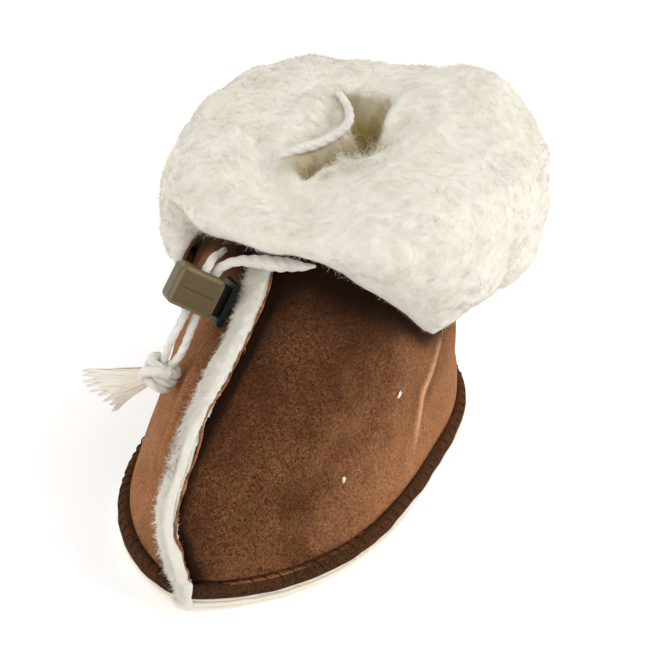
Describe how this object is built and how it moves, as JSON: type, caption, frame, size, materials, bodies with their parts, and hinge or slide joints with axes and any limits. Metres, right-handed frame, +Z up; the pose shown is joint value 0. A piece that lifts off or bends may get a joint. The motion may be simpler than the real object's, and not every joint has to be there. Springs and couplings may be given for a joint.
{
  "type": "baby slipper",
  "caption": "Infant's wrap-round suede sheepskin bootie with a deep turned-down fleece cuff, a front fleece seam, and a drawstring held by a sprung cord lock.",
  "frame": {"origin": "on the floor under the sole, at the middle of its length, on the forefoot's flat", "axes": "+X to the wearer's left, +Y towards the heel, +Z up"},
  "size_m": [0.0849, 0.1217, 0.0825],
  "materials": {
    "suede": "brown suede",
    "natural_suede": "undyed suede",
    "fleece": "cream sheepskin pile",
    "cord": "soft twisted cotton",
    "plastic": "olive brown, satin"
  },
  "bodies": {
    "slipper": {"outsole": "natural_suede", "sole_fleece": "fleece", "upper": "suede", "front_seam_strip": "fleece", "cuff": "fleece", "drawstring_crossing": "cord", "drawstring_side": "cord", "drawstring_inside": "cord", "lock_barrel": "plastic", "cord_strand_a": "cord", "cord_strand_b": "cord", "cord_knot": "cord", "cord_tassel": "cord"},
    "plunger": {"lock_plunger": "plastic"}
  },
  "joints": [
    {"name": "lock_press", "type": "slide", "parent": "slipper", "child": "plunger", "axis": [-0.7562, -0.4021, 0.5162], "range_m": [0, 0.001], "stiffness_N_per_m": 500, "springref_m": -0.003}
  ]
}
